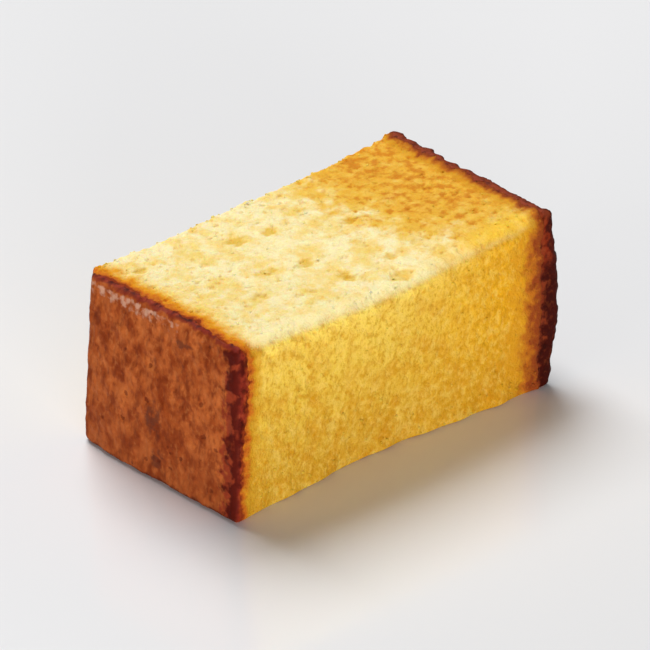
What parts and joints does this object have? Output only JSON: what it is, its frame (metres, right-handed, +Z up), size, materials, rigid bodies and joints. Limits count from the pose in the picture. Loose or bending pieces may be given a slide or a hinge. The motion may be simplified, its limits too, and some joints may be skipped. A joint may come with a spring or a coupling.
{
  "type": "castella sponge cake slice",
  "caption": "Thick slice of castella sponge cake lying on a cut side, golden crumb between a brown baked crust at each end.",
  "frame": {"origin": "middle of the slice's outline on the surface it lies on", "axes": "+X along the slice from the left crust to the right crust, +Y from the near cut side to the far cut side, +Z up"},
  "size_m": [0.0616, 0.0352, 0.0263],
  "materials": {
    "crumb": "matte",
    "crust": "matte"
  },
  "bodies": {
    "root": {"castella_slice": "crumb"}
  },
  "joints": []
}
